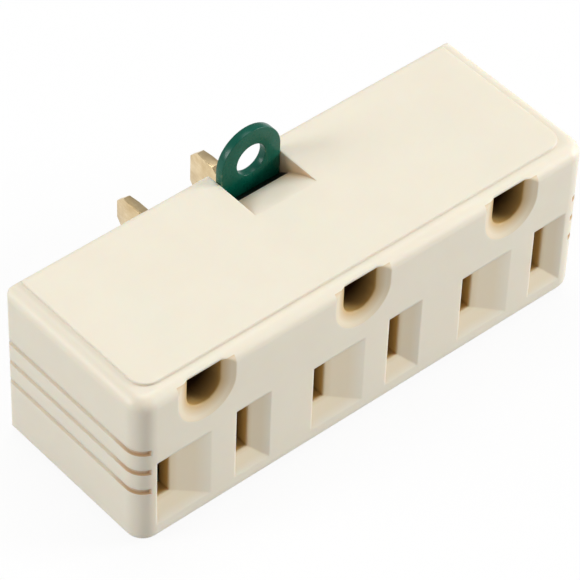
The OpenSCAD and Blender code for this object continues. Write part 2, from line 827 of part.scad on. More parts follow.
module insulating_card() {
    half = body_l / 2 - wall - 0.2;
    color([0.75, 0.7, 0.6])
        block([-half, strap_front_y, card_z], [half, -cover_t - 0.1, card_z + card_t]);
}

module contact_rivets(x, z) {
    for (i = outlets)
        translate([outlet_x(i) + x, strap_rivet_y, z]) rivet(strap_t + clip_t, rivet_r, rivet_head_r);
}

module hot_contact_rivets() {
    color([0.8, 0.7, 0.45]) contact_rivets(hot_x, hot_strap_z);
}

module neutral_contact_rivets() {
    color([0.8, 0.7, 0.45]) contact_rivets(neutral_x, neutral_strap_z - clip_t);
}

module ground_contact_rivets() {
    color([0.8, 0.7, 0.45])
        for (i = outlets)
            translate([outlet_x(i), ground_rivet_y(), ground_strap_z])
                rivet(strap_t + clip_t, rivet_r, rivet_head_r);
}

module cover_screws() {
    slot_depth = 0.6;
    color([0.72, 0.72, 0.7])
        for (i = [0, 2])
            translate([outlet_x(i), screw_seat_y, screw_z]) rotate([-90, 0, 0])
                difference() {
                    union() {
                        cylinder(h = screw_head_h, r = screw_head_r);
                        translate([0, 0, -screw_l]) cylinder(h = screw_l, r = screw_r);
                    }
                    for (turn = [0, 90])
                        rotate(turn)
                            block([-screw_head_r * 0.55, -0.4, screw_head_h - slot_depth],
                                  [screw_head_r * 0.55, 0.4, screw_head_h + over]);
                }
}

front_housing();
rear_cover();
hot_blade();
neutral_blade();
ground_tab();
hot_strap();
neutral_strap();
ground_strap();
hot_contact(0);  // hot_contact_1
hot_contact(1);  // hot_contact_2
hot_contact(2);  // hot_contact_3
neutral_contact(0);  // neutral_contact_1
neutral_contact(1);  // neutral_contact_2
neutral_contact(2);  // neutral_contact_3
ground_contact(0);  // ground_contact_1
ground_contact(1);  // ground_contact_2
ground_contact(2);  // ground_contact_3
insulating_card();
cover_screws();
hot_contact_rivets();
neutral_contact_rivets();
ground_contact_rivets();
hot_blade_rivets();
neutral_blade_rivets();
ground_tab_rivet();
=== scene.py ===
import json
import math
import bmesh
import bpy
from mathutils import Matrix, Vector


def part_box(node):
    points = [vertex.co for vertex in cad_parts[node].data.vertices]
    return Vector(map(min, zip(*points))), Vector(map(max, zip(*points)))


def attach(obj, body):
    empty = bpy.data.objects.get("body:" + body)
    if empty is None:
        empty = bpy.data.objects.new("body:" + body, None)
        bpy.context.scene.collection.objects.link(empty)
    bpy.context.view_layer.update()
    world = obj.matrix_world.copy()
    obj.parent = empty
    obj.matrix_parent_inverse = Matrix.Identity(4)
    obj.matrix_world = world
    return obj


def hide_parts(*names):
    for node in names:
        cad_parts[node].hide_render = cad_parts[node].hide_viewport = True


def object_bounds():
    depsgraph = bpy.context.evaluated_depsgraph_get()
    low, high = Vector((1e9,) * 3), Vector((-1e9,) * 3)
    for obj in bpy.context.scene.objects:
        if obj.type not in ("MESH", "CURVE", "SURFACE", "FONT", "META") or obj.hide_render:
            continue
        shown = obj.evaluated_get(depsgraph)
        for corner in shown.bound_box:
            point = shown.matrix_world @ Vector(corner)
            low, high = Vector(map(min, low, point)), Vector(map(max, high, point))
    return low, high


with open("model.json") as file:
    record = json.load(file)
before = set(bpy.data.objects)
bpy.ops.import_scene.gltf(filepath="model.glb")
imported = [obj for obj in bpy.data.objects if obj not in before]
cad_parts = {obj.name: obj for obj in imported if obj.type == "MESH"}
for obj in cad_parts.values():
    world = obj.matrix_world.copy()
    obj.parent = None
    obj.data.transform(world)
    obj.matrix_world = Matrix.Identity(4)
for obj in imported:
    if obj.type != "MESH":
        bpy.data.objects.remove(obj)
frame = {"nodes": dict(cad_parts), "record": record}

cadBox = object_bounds()
mm = 0.001
record = frame["record"]
print("adapter: frame loaded")


def srgb(red, green, blue):
    # a screen colour from 0 to 255, as the linear colour that a shader takes
    def one(v):
        v /= 255
        return v / 12.92 if v <= 0.04045 else ((v + 0.055) / 1.055) ** 2.4
    return (one(red), one(green), one(blue), 1)


# Node helpers

def newMaterial(name):
    material = bpy.data.materials.new(name)
    material.use_nodes = True
    tree = material.node_tree
    tree.nodes.clear()
    output = tree.nodes.new("ShaderNodeOutputMaterial")
    shader = tree.nodes.new("ShaderNodeBsdfPrincipled")
    tree.links.new(shader.outputs["BSDF"], output.inputs["Surface"])
    return material, tree, shader


def addNode(tree, kind, **settings):
    node = tree.nodes.new(kind)
    for key, value in settings.items():
        setattr(node, key, value)
    return node


def objectPlace(tree, scale=(1, 1, 1), turn=(0, 0, 0)):
    place = addNode(tree, "ShaderNodeTexCoord")
    mapping = addNode(tree, "ShaderNodeMapping")
    mapping.inputs["Scale"].default_value = scale
    mapping.inputs["Rotation"].default_value = turn
    tree.links.new(place.outputs["Object"], mapping.inputs["Vector"])
    return mapping.outputs["Vector"]


def noise(tree, place, scale, detail=3, rough=0.5, distortion=0.0):
    node = addNode(tree, "ShaderNodeTexNoise")
    node.inputs["Scale"].default_value = scale
    node.inputs["Detail"].default_value = detail
    node.inputs["Roughness"].default_value = rough
    node.inputs["Distortion"].default_value = distortion
    tree.links.new(place, node.inputs["Vector"])
    return node.outputs["Fac"]


def ramp(tree, source, stops):
    # stops are (position, colour) pairs
    node = addNode(tree, "ShaderNodeValToRGB")
    band = node.color_ramp
    while len(band.elements) < len(stops):
        band.elements.new(0.5)
    for element, (position, colour) in zip(band.elements, stops):
        element.position = position
        element.color = colour
    tree.links.new(source, node.inputs["Fac"])
    return node.outputs["Color"]


def remap(tree, source, low, high, toLow, toHigh):
    node = addNode(tree, "ShaderNodeMapRange")
    for key, value in (("From Min", low), ("From Max", high), ("To Min", toLow), ("To Max", toHigh)):
        node.inputs[key].default_value = value
    tree.links.new(source, node.inputs["Value"])
    return node.outputs["Result"]


def mixColour(tree, factor, first, second, blend="MIX"):
    node = addNode(tree, "ShaderNodeMix", data_type="RGBA", blend_type=blend)
    for socket, value in ((node.inputs[0], factor), (node.inputs[6], first), (node.inputs[7], second)):
        if isinstance(value, bpy.types.NodeSocket):
            tree.links.new(value, socket)
        else:
            socket.default_value = value
    return node.outputs[2]


def calculate(tree, operation, first, second=0.0):
    node = addNode(tree, "ShaderNodeMath", operation=operation)
    for socket, value in ((node.inputs[0], first), (node.inputs[1], second)):
        if isinstance(value, bpy.types.NodeSocket):
            tree.links.new(value, socket)
        else:
            socket.default_value = value
    return node.outputs[0]


def bumpy(tree, height, strength, distance, under=None):
    node = addNode(tree, "ShaderNodeBump")
    node.inputs["Strength"].default_value = strength
    node.inputs["Distance"].default_value = distance
    tree.links.new(height, node.inputs["Height"])
    if under is not None:
        tree.links.new(under, node.inputs["Normal"])
    return node.outputs["Normal"]


def roundedEdges(tree, radius):
    node = addNode(tree, "ShaderNodeBevel", samples=6)
    node.inputs["Radius"].default_value = radius
    return node.outputs["Normal"]


def edgeMask(tree, roundedNormal):
    # 0 on flat faces, towards 1 where the rounded normal turns away from the face's own
    geometry = addNode(tree, "ShaderNodeNewGeometry")
    between = addNode(tree, "ShaderNodeVectorMath", operation="DOT_PRODUCT")
    tree.links.new(roundedNormal, between.inputs[0])
    tree.links.new(geometry.outputs["True Normal"], between.inputs[1])
    return remap(tree, between.outputs["Value"], 0.99, 0.84, 0.0, 1.0)


def placeParts(tree):
    place = addNode(tree, "ShaderNodeTexCoord")
    parts = addNode(tree, "ShaderNodeSeparateXYZ")
    tree.links.new(place.outputs["Object"], parts.inputs["Vector"])
    return parts.outputs["X"], parts.outputs["Y"], parts.outputs["Z"]


def within(tree, box):
    # 1 inside the box, 0 outside it
    inside = None
    for value, low, high in zip(placeParts(tree), *box):
        over = calculate(tree, "GREATER_THAN", value, low)
        under = calculate(tree, "LESS_THAN", value, high)
        both = calculate(tree, "MULTIPLY", over, under)
        inside = both if inside is None else calculate(tree, "MULTIPLY", inside, both)
    return inside


# Finishes

plasticLook = {
    "face": srgb(233, 226, 208),
    "warm": srgb(232, 224, 206),
    # painted shade for the lead-in ramps of the wells
    "shaded": srgb(229, 216, 190),
    # painted highlight on rounded edges
    "edge": srgb(244, 234, 222),
    # painted shade for closed-in hollows and creases
    "paintedShade": srgb(196, 152, 92),
    # ochre and near-black painted shade inside the wells
    "ochre": srgb(198, 162, 98),
    "deep": srgb(66, 42, 18),
    # painted shadow in front of the tab's foot
    "gap": srgb(14, 11, 9),
    "roughness": (0.36, 0.46),
    "grain": 5200,          # fine moulded grain, per metre
    "mottle": 160,
    "edgeRadius": 0.42 * mm,
    "paintedShadeReach": 4 * mm,
    "paintedShadeBehind": 0.12,     # share of the painted shade that is left away from the front
    "paintedShadeOnTop": 0.1,
}


def ivoryPlastic(name, look, shade=1.0, wells=None):
    material, tree, shader = newMaterial(name)
    place = objectPlace(tree)
    mottle = noise(tree, place, look["mottle"], 4, 0.55)
    face = ramp(tree, mottle, [(0.3, look["warm"]), (0.62, look["face"])])
    # painted highlight: rounded edges and corners are painted a lighter tone
    soft = roundedEdges(tree, look["edgeRadius"])
    turned = edgeMask(tree, soft)
    face = mixColour(tree, calculate(tree, "MULTIPLY", turned, 0.55), face, look["edge"])
    # painted shade: the moulding is darkened and browned where ambient occlusion finds it closed in
    closed = addNode(tree, "ShaderNodeAmbientOcclusion", samples=6, only_local=True)
    closed.inputs["Distance"].default_value = look["paintedShadeReach"]
    paintedShade = remap(tree, closed.outputs["AO"], 0.99, 0.55, 0.0, 0.75)
    if wells is None:
        face = mixColour(tree, calculate(tree, "MULTIPLY", paintedShade, look["paintedShadeBehind"]), face, look["paintedShade"])
    else:
        across, along, up = placeParts(tree)
        notch = within(tree, wells["notch"])
        behind = remap(tree, along, wells["front"] + 2 * mm, wells["front"] + 6 * mm, 1.0, look["paintedShadeBehind"])
        onTop = remap(tree, up, wells["top"] - 2.2 * mm, wells["top"] - 1.2 * mm, 1.0, look["paintedShadeOnTop"])
        share = calculate(tree, "MAXIMUM", calculate(tree, "MULTIPLY", behind, onTop), notch)
        face = mixColour(tree, calculate(tree, "MULTIPLY", paintedShade, share), face, look["paintedShade"])
        # painted shade: the moulding is painted a shaded tone, then ochre and then nearly black as a well goes in,
        # sooner in the ground holes
        upper = calculate(tree, "GREATER_THAN", up, wells["holesFrom"])
        depth = calculate(tree, "SUBTRACT", along, wells["front"])
        depth = calculate(tree, "ADD", depth, calculate(tree, "MULTIPLY", upper, wells["sooner"]))
        allowed = calculate(tree, "SUBTRACT", 1.0, upper)
        for centre in wells["holeCentres"]:
            gap = calculate(tree, "ABSOLUTE", calculate(tree, "SUBTRACT", across, centre))
            allowed = calculate(tree, "MAXIMUM", allowed, calculate(tree, "LESS_THAN", gap, wells["holeReach"]))
        inside = calculate(tree, "MULTIPLY", within(tree, wells["box"]), calculate(tree, "SUBTRACT", 1.0, notch))
        inside = calculate(tree, "MULTIPLY", inside, allowed)
        for tone in ("shaded", "ochre", "deep"):
            first, last = wells[tone]
            amount = calculate(tree, "MULTIPLY", remap(tree, depth, first, last, 0.0, 1.0), inside)
            face = mixColour(tree, amount, face, look[tone])
        # painted shadow: near black in front of the tab's foot
        face = mixColour(tree, within(tree, wells["slit"]), face, look["gap"])
    if shade != 1.0:
        face = mixColour(tree, 1.0, face, (shade, shade, shade, 1), "MULTIPLY")
    tree.links.new(face, shader.inputs["Base Color"])
    patch = noise(tree, place, 420, 3, 0.6)
    tree.links.new(remap(tree, patch, 0.3, 0.7, *look["roughness"]), shader.inputs["Roughness"])
    grain = noise(tree, place, look["grain"], 2, 0.5)
    tree.links.new(bumpy(tree, grain, 0.18, 0.02 * mm, soft), shader.inputs["Normal"])
    shader.inputs["IOR"].default_value = 1.49
    shader.inputs["Specular IOR Level"].default_value = 0.42
    shader.inputs["Subsurface Weight"].default_value = 0.4
    shader.inputs["Subsurface Radius"].default_value = (1.0, 0.6, 0.35)
    shader.inputs["Subsurface Scale"].default_value = 1.4 * mm
    return material


metalLook = {
    "blade": (srgb(236, 215, 175), srgb(208, 182, 136)),
    "strap": (srgb(214, 178, 112), srgb(170, 132, 72)),
    "contact": (srgb(222, 172, 110), srgb(176, 124, 70)),
    "rivet": (srgb(216, 184, 124), srgb(172, 138, 84)),
    "steel": (srgb(196, 197, 194), srgb(150, 151, 150)),
}


def rolledMetal(name, tones, stretch, roughness=(0.24, 0.42), streak=2600, edgeRadius=0.1 * mm):
    # stretch draws the streaks out along the direction in which the strip was rolled
    material, tree, shader = newMaterial(name)
    place = objectPlace(tree, stretch)
    streaks = noise(tree, place, streak, 3, 0.6)
    stain = noise(tree, objectPlace(tree), 330, 5, 0.62)
    base = ramp(tree, stain, [(0.32, tones[1]), (0.6, tones[0])])
    base = mixColour(tree, remap(tree, streaks, 0.35, 0.7, 0.0, 0.35), base, tones[1])
    tree.links.new(base, shader.inputs["Base Color"])
    shader.inputs["Metallic"].default_value = 1.0
    tree.links.new(remap(tree, streaks, 0.3, 0.7, *roughness), shader.inputs["Roughness"])
    soft = roundedEdges(tree, edgeRadius)
    tree.links.new(bumpy(tree, streaks, 0.12, 0.01 * mm, soft), shader.inputs["Normal"])
    return material


enamelLook = {
    "green": srgb(2, 87, 70),
    "deep": srgb(2, 78, 62),
    "worn": srgb(178, 190, 150),
}


def greenEnamel(name, look):
    material, tree, shader = newMaterial(name)
    place = objectPlace(tree)
    pool = noise(tree, place, 380, 4, 0.55)
    base = ramp(tree, pool, [(0.34, look["deep"]), (0.64, look["green"])])
    geometry = addNode(tree, "ShaderNodeNewGeometry")
    rim = remap(tree, geometry.outputs["Pointiness"], 0.54, 0.62, 0.0, 1.0)
    chips = remap(tree, noise(tree, place, 1500, 4, 0.6), 0.5, 0.62, 0.0, 0.5)
    base = mixColour(tree, calculate(tree, "MULTIPLY", rim, chips), base, look["worn"])
    tree.links.new(base, shader.inputs["Base Color"])
    peel = noise(tree, place, 1400, 2, 0.5)
    tree.links.new(remap(tree, peel, 0.3, 0.7, 0.24, 0.36), shader.inputs["Roughness"])
    soft = roundedEdges(tree, 0.16 * mm)
    tree.links.new(bumpy(tree, peel, 0.18, 0.03 * mm, soft), shader.inputs["Normal"])
    shader.inputs["Specular IOR Level"].default_value = 0.22
    shader.inputs["Coat Weight"].default_value = 0.08
    shader.inputs["Coat Roughness"].default_value = 0.14
    return material


def pressedCard(name):
    material, tree, shader = newMaterial(name)
    fibre = noise(tree, objectPlace(tree, (1, 5, 5)), 900, 5, 0.7)
    base = ramp(tree, fibre, [(0.3, srgb(150, 128, 92)), (0.7, srgb(186, 164, 124))])
    tree.links.new(base, shader.inputs["Base Color"])
    shader.inputs["Roughness"].default_value = 0.85
    tree.links.new(bumpy(tree, fibre, 0.4, 0.04 * mm), shader.inputs["Normal"])
    return material


housingLow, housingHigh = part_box("front_housing")
tabLow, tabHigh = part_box("ground_tab")
tabHole = next(mount for mount in record["mounts"] if mount["name"] == "tab_screw_hole")
tabFront = tabHole["pos_m"][1] - tabHole["dims"]["length_mm"] / 2 * mm
holeBoxes = [opening["box_m"] for opening in record["physics"]["openings"] if opening["name"].startswith("ground_hole")]
skin = 3 * mm
wells = {
    "front": housingLow[1],
    "top": housingHigh[2],
    "shaded": (0.05 * mm, 0.4 * mm),    # depths between which each painted shade tone comes in
    "ochre": (0.8 * mm, 1.45 * mm),
    "deep": (1.5 * mm, 4.6 * mm),
    "holesFrom": 8.8 * mm,
    "holeCentres": [(low[0] + high[0]) / 2 for low, high in holeBoxes],
    "holeReach": 4.55 * mm,
    "sooner": 0.55 * mm,
    "box": ((housingLow[0] + skin, housingLow[1], housingLow[2] + skin),
            (housingHigh[0] - skin, housingHigh[1] - skin, housingHigh[2] - 0.9 * mm)),
    "notch": ((-5.3 * mm, -11 * mm, 12.5 * mm), (5.3 * mm, 0, 20 * mm)),
    # painted shadow: the box in front of the tab's foot that is painted near black
    "slit": ((tabLow[0], tabFront - 1.6 * mm, 10 * mm), (tabHigh[0] + 0.1 * mm, tabFront + 0.1 * mm, 16.8 * mm)),
}
housingPlastic = ivoryPlastic("ivoryHousingPlastic", plasticLook, 1.0, wells)
coverPlastic = ivoryPlastic("ivoryCoverPlastic", plasticLook, 0.97)
bladeBrass = rolledMetal("stampedBladeBrass", metalLook["blade"], (1, 0.12, 1))
strapBrass = rolledMetal("rolledStrapBrass", metalLook["strap"], (0.1, 1, 1))
contactBronze = rolledMetal("springContactBronze", metalLook["contact"], (1, 0.15, 1))
rivetBrass = rolledMetal("headedRivetBrass", metalLook["rivet"], (1, 1, 1))
screwSteel = rolledMetal("platedScrewSteel", metalLook["steel"], (1, 1, 1), (0.25, 0.4))
tabEnamel = greenEnamel("greenTabEnamel", enamelLook)
cardFibre = pressedCard("pressedCardFibre")
print("adapter: finishes made")


def dress(node, material):
    mesh = frame["nodes"][node].data
    mesh.materials.clear()
    mesh.materials.append(material)


dress("front_housing", housingPlastic)
dress("rear_cover", coverPlastic)
dress("insulating_card", cardFibre)
for node in ("hot_strap", "neutral_strap", "ground_strap"):
    dress(node, strapBrass)
for group in ("hot", "neutral", "ground"):
    for number in (1, 2, 3):
        dress("%s_contact_%d" % (group, number), contactBronze)


# Stamped pieces: a copy of the solid with its edges rounded over, as a tumbled stamping has them

def softCopy(node, name, width, segments, material, sharp=35):
    source = frame["nodes"][node]
    mesh = source.data.copy()
    mesh.name = name
    piece = bpy.data.objects.new(name, mesh)
    bpy.context.scene.collection.objects.link(piece)
    shape = bmesh.new()
    shape.from_mesh(mesh)
    bmesh.ops.remove_doubles(shape, verts=shape.verts, dist=0.002 * mm)
    bmesh.ops.dissolve_limit(shape, angle_limit=math.radians(0.8), verts=shape.verts, edges=shape.edges)
    shape.to_mesh(mesh)
    shape.free()
    mesh.materials.clear()
    mesh.materials.append(material)
    bevel = piece.modifiers.new("roundedEdges", "BEVEL")
    bevel.width = width
    bevel.segments = segments
    bevel.limit_method = "ANGLE"
    bevel.angle_limit = math.radians(sharp)
    bevel.use_clamp_overlap = True
    flat = bpy.data.meshes.new_from_object(piece.evaluated_get(bpy.context.evaluated_depsgraph_get()))
    piece.modifiers.clear()
    piece.data = flat
    flat.name = name
    flat.shade_smooth()
    flat.set_sharp_from_angle(angle=math.radians(40))
    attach(piece, "root")
    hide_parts(node)
    return piece


softEdges = {
    "hot_blade": ("hotBladeStamping", 0.14 * mm, bladeBrass, "blade"),
    "neutral_blade": ("neutralBladeStamping", 0.14 * mm, bladeBrass, "blade"),
    "ground_tab": ("groundTabStamping", 0.16 * mm, tabEnamel, "tab"),
}
for node, (name, width, material, slot) in softEdges.items():
    softCopy(node, name, width, 3, material)
print("adapter: stampings rounded")


# Fasteners: one node tree for the headed rivets and one for the cover screws, run on a point for each

def newNodeTree(name, inputs):
    tree = bpy.data.node_groups.new(name, "GeometryNodeTree")
    tree.interface.new_socket("Places", in_out="INPUT", socket_type="NodeSocketGeometry")
    sockets = {}
    for label, kind in inputs:
        sockets[label] = tree.interface.new_socket(label, in_out="INPUT", socket_type="NodeSocket" + kind).identifier
    tree.interface.new_socket("Pieces", in_out="OUTPUT", socket_type="NodeSocketGeometry")
    return tree, addNode(tree, "NodeGroupInput"), sockets


def cylinderNode(tree, radius, depth, sides=32, rings=1):
    node = addNode(tree, "GeometryNodeMeshCylinder", fill_type="TRIANGLE_FAN")
    node.inputs["Vertices"].default_value = sides
    node.inputs["Fill Segments"].default_value = rings
    tree.links.new(radius, node.inputs["Radius"])
    tree.links.new(depth, node.inputs["Depth"])
    return node.outputs["Mesh"]


def moved(tree, mesh, height=0.0, turn=(0, 0, 0)):
    shift = addNode(tree, "ShaderNodeCombineXYZ")
    if isinstance(height, bpy.types.NodeSocket):
        tree.links.new(height, shift.inputs["Z"])
    else:
        shift.inputs["Z"].default_value = height
    node = addNode(tree, "GeometryNodeTransform")
    node.inputs["Rotation"].default_value = turn
    tree.links.new(mesh, node.inputs["Geometry"])
    tree.links.new(shift.outputs["Vector"], node.inputs["Translation"])
    return node.outputs["Geometry"]


def domedHead(tree, radius, rim, dome, power):
    # a disc whose upper side bulges by dome, fuller for a higher power
    disc = cylinderNode(tree, radius, rim, 40, 8)
    parts = addNode(tree, "ShaderNodeSeparateXYZ")
    tree.links.new(addNode(tree, "GeometryNodeInputPosition").outputs["Position"], parts.inputs["Vector"])
    x, y, z = (parts.outputs[axis] for axis in "XYZ")
    reach = calculate(tree, "SQRT", calculate(tree, "ADD", calculate(tree, "MULTIPLY", x, x),
                                              calculate(tree, "MULTIPLY", y, y)))
    share = calculate(tree, "POWER", calculate(tree, "DIVIDE", reach, radius), power)
    fall = calculate(tree, "MAXIMUM", calculate(tree, "SUBTRACT", 1.0, share), 0.0)
    rise = calculate(tree, "MULTIPLY", calculate(tree, "SQRT", fall), dome)
    offset = addNode(tree, "ShaderNodeCombineXYZ")
    tree.links.new(rise, offset.inputs["Z"])
    bulge = addNode(tree, "GeometryNodeSetPosition")
    tree.links.new(disc, bulge.inputs["Geometry"])
    tree.links.new(calculate(tree, "GREATER_THAN", z, 0.0), bulge.inputs["Selection"])
    tree.links.new(offset.outputs["Vector"], bulge.inputs["Offset"])
    return bulge.outputs["Geometry"]


def joined(tree, meshes):
    node = addNode(tree, "GeometryNodeJoinGeometry")
    for mesh in meshes:
        tree.links.new(mesh, node.inputs["Geometry"])
    return node.outputs["Geometry"]


def placeOnPoints(tree, given, shape):
    align = addNode(tree, "FunctionNodeAlignRotationToVector", axis="Z")
    tree.links.new(given.outputs["Direction"], align.inputs["Vector"])
    spread = addNode(tree, "GeometryNodeInstanceOnPoints")
    tree.links.new(given.outputs["Places"], spread.inputs["Points"])
    tree.links.new(shape, spread.inputs["Instance"])
    tree.links.new(align.outputs["Rotation"], spread.inputs["Rotation"])
    real = addNode(tree, "GeometryNodeRealizeInstances")
    tree.links.new(spread.outputs["Instances"], real.inputs["Geometry"])
    paint = addNode(tree, "GeometryNodeSetMaterial")
    tree.links.new(real.outputs["Geometry"], paint.inputs["Geometry"])
    tree.links.new(given.outputs["Metal"], paint.inputs["Material"])
    tree.links.new(paint.outputs["Geometry"], addNode(tree, "NodeGroupOutput").inputs["Pieces"])


def headedRivetTree():
    tree, given, sockets = newNodeTree("headedRivet", [
        ("Shank Radius", "Float"), ("Head Radius", "Float"), ("Rim Height", "Float"), ("Dome Height", "Float"),
        ("Grip", "Float"), ("Direction", "Vector"), ("Metal", "Material")])
    rim, grip = given.outputs["Rim Height"], given.outputs["Grip"]
    halfRim = calculate(tree, "MULTIPLY", rim, 0.5)
    shank = moved(tree, cylinderNode(tree, given.outputs["Shank Radius"], grip), calculate(tree, "MULTIPLY", grip, 0.5))
    head = domedHead(tree, given.outputs["Head Radius"], rim, given.outputs["Dome Height"], 2.4)
    upper = moved(tree, head, calculate(tree, "ADD", grip, halfRim))
    lower = moved(tree, head, calculate(tree, "MULTIPLY", halfRim, -1.0), (math.pi, 0, 0))
    placeOnPoints(tree, given, joined(tree, [shank, upper, lower]))
    return tree, sockets


def coverScrewTree():
    tree, given, sockets = newNodeTree("coverScrew", [
        ("Shank Radius", "Float"), ("Shank Length", "Float"), ("Head Radius", "Float"), ("Rim Height", "Float"),
        ("Dome Height", "Float"), ("Thread Pitch", "Float"), ("Thread Depth", "Float"), ("Tip Length", "Float"),
        ("Recess Width", "Float"), ("Recess Length", "Float"), ("Recess Depth", "Float"),
        ("Direction", "Vector"), ("Metal", "Material")])
    take = given.outputs
    # core and tip
    core = calculate(tree, "SUBTRACT", take["Shank Radius"], take["Thread Depth"])
    straight = calculate(tree, "SUBTRACT", take["Shank Length"], take["Tip Length"])
    shank = moved(tree, cylinderNode(tree, core, straight), calculate(tree, "MULTIPLY", straight, -0.5))
    cone = addNode(tree, "GeometryNodeMeshCone")
    cone.inputs["Vertices"].default_value = 32
    tree.links.new(core, cone.inputs["Radius Top"])
    tree.links.new(calculate(tree, "MULTIPLY", core, 0.35), cone.inputs["Radius Bottom"])
    tree.links.new(take["Tip Length"], cone.inputs["Depth"])
    tip = moved(tree, cone.outputs["Mesh"], calculate(tree, "MULTIPLY", take["Shank Length"], -1.0))
    # thread
    spiral = addNode(tree, "GeometryNodeCurveSpiral")
    spiral.inputs["Resolution"].default_value = 28
    span = calculate(tree, "SUBTRACT", straight, calculate(tree, "MULTIPLY", take["Thread Pitch"], 2.0))
    tree.links.new(calculate(tree, "DIVIDE", span, take["Thread Pitch"]), spiral.inputs["Rotations"])
    for end in ("Start Radius", "End Radius"):
        tree.links.new(core, spiral.inputs[end])
    tree.links.new(span, spiral.inputs["Height"])
    ridge = addNode(tree, "GeometryNodeCurvePrimitiveCircle")
    ridge.inputs["Resolution"].default_value = 3
    tree.links.new(calculate(tree, "MULTIPLY", take["Thread Depth"], 0.98), ridge.inputs["Radius"])
    sweep = addNode(tree, "GeometryNodeCurveToMesh")
    sweep.inputs["Fill Caps"].default_value = True
    upright = addNode(tree, "GeometryNodeSetCurveNormal", mode="Z_UP")
    tree.links.new(spiral.outputs["Curve"], upright.inputs["Curve"])
    tree.links.new(upright.outputs["Curve"], sweep.inputs["Curve"])
    tree.links.new(ridge.outputs["Curve"], sweep.inputs["Profile Curve"])
    thread = moved(tree, sweep.outputs["Mesh"], calculate(tree, "MULTIPLY", calculate(
        tree, "ADD", span, take["Thread Pitch"]), -1.0))
    # head with its cross recess
    head = moved(tree, domedHead(tree, take["Head Radius"], take["Rim Height"], take["Dome Height"], 4.0),
                 calculate(tree, "MULTIPLY", take["Rim Height"], 0.5))
    top = calculate(tree, "ADD", take["Rim Height"], take["Dome Height"])
    arms = []
    for turn in (0, math.pi / 2):
        size = addNode(tree, "ShaderNodeCombineXYZ")
        tree.links.new(take["Recess Length"], size.inputs["X"])
        tree.links.new(take["Recess Width"], size.inputs["Y"])
        tree.links.new(calculate(tree, "MULTIPLY", take["Recess Depth"], 2.0), size.inputs["Z"])
        arm = addNode(tree, "GeometryNodeMeshCube")
        tree.links.new(size.outputs["Vector"], arm.inputs["Size"])
        arms.append(moved(tree, arm.outputs["Mesh"], top, (0, 0, turn)))
    cut = addNode(tree, "GeometryNodeMeshBoolean", operation="DIFFERENCE")
    tree.links.new(head, cut.inputs["Mesh 1"])
    for arm in arms:
        tree.links.new(arm, cut.inputs["Mesh 2"])
    placeOnPoints(tree, given, joined(tree, [shank, tip, thread, cut.outputs["Mesh"]]))
    return tree, sockets


def runNodeTree(name, madeTree, places, settings, node):
    tree, sockets = madeTree
    mesh = bpy.data.meshes.new(name)
    mesh.from_pydata(places, [], [])
    piece = bpy.data.objects.new(name, mesh)
    bpy.context.scene.collection.objects.link(piece)
    modifier = piece.modifiers.new("fasteners", "NODES")
    modifier.node_group = tree
    for label, value in settings.items():
        modifier[sockets[label]] = value
    flat = bpy.data.meshes.new_from_object(piece.evaluated_get(bpy.context.evaluated_depsgraph_get()))
    piece.modifiers.clear()
    piece.data = flat
    flat.name = name
    flat.shade_smooth()
    flat.set_sharp_from_angle(angle=math.radians(38))
    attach(piece, "root")
    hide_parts(node)


rivetSizes = {
    "headHeight": 0.4 * mm,
    "rimShare": 0.4,
    "shankShare": 0.8 / 1.5,
    "groups": {          # name of the piece, number of rivets along X and along Z, direction
        "hot_contact_rivets": ("hotContactRivetSet", 3, 1, (0, 0, 1)),
        "neutral_contact_rivets": ("neutralContactRivetSet", 3, 1, (0, 0, 1)),
        "ground_contact_rivets": ("groundContactRivetSet", 3, 1, (0, 0, 1)),
        "hot_blade_rivets": ("hotBladeRivetSet", 1, 2, (0, -1, 0)),
        "neutral_blade_rivets": ("neutralBladeRivetSet", 1, 2, (0, -1, 0)),
        "ground_tab_rivet": ("groundTabRivetPiece", 1, 1, (0, 0, 1)),
    },
}


def spaced(low, high, radius, number):
    first, last = low + radius, high - radius
    return [first + (last - first) * i / max(1, number - 1) for i in range(number)]


def addRivets(use):
    madeTree = headedRivetTree()
    for node, (name, alongX, alongZ, direction) in use["groups"].items():
        low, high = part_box(node)
        height = use["headHeight"]
        if direction[2]:
            radius = (high[1] - low[1]) / 2
            grip = high[2] - low[2] - 2 * height
            places = [(x, low[1] + radius, low[2] + height) for x in spaced(low[0], high[0], radius, alongX)]
        else:
            radius = (high[0] - low[0]) / 2
            grip = high[1] - low[1] - 2 * height
            places = [(low[0] + radius, high[1] - height, z) for z in spaced(low[2], high[2], radius, alongZ)]
        runNodeTree(name, madeTree, places, {
            "Shank Radius": radius * use["shankShare"], "Head Radius": radius * 0.998,
            "Rim Height": height * use["rimShare"], "Dome Height": height * (1 - use["rimShare"]),
            "Grip": grip, "Direction": direction, "Metal": rivetBrass}, node)


screwSizes = {
    "headHeight": 1.2 * mm,
    "rimShare": 0.5,
    "shankRadius": 1.25 * mm,
    "threadPitch": 0.9 * mm,
    "threadDepth": 0.26 * mm,
    "tipLength": 1.1 * mm,
    "recessWidth": 0.72 * mm,
    "recessLength": 2.7 * mm,
    "recessDepth": 0.75 * mm,
}


def addScrews(use):
    low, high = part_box("cover_screws")
    radius = (high[2] - low[2]) / 2
    seat = high[1] - use["headHeight"]
    places = [(x, seat, low[2] + radius) for x in spaced(low[0], high[0], radius, 2)]
    runNodeTree("coverScrewPair", coverScrewTree(), places, {
        "Shank Radius": use["shankRadius"], "Shank Length": seat - low[1], "Head Radius": radius * 0.998,
        "Rim Height": use["headHeight"] * use["rimShare"], "Dome Height": use["headHeight"] * (1 - use["rimShare"]),
        "Thread Pitch": use["threadPitch"], "Thread Depth": use["threadDepth"], "Tip Length": use["tipLength"],
        "Recess Width": use["recessWidth"], "Recess Length": use["recessLength"], "Recess Depth": use["recessDepth"],
        "Direction": (0, 1, 0), "Metal": screwSteel}, "cover_screws")


addRivets(rivetSizes)
addScrews(screwSizes)
print("adapter: rivets and screws made")


# Stage, light and camera

